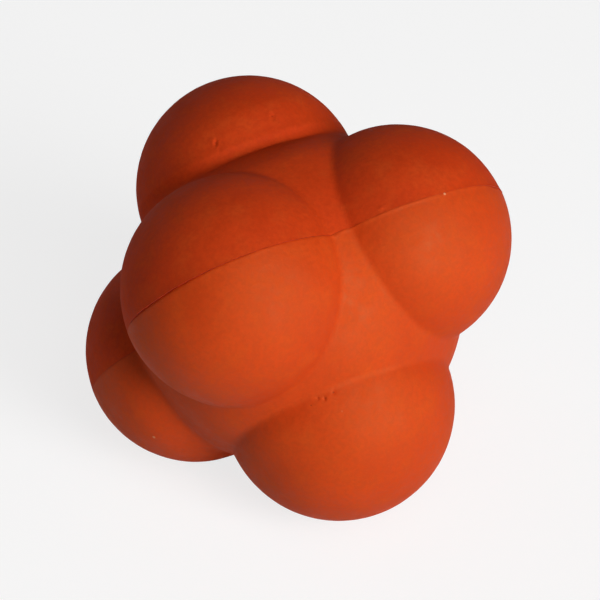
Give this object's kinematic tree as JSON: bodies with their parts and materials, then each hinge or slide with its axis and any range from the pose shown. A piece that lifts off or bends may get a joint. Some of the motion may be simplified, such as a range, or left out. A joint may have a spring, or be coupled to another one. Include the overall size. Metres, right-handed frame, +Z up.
{
  "type": "reaction ball",
  "caption": "Solid rubber reaction ball with round lobes on a spherical core, for catching and reflex drills. It bounces off in directions nobody can guess.",
  "frame": {"origin": "the ball's centre, where the three axes through opposite lobes cross", "axes": "+Z up as the ball stands on three neighbouring lobes, along the diagonal between the three upper lobes. +Y over the back upper lobe, whose axis is the direction the mould opens. +X to the right, level with the floor."},
  "size_m": [0.0594, 0.0634, 0.0546],
  "materials": {
    "rubber": "matte",
    "rubber_cement": "matte"
  },
  "bodies": {
    "root": {"upper_half": "rubber", "lower_half": "rubber", "seam_bond": "rubber_cement"}
  },
  "joints": []
}
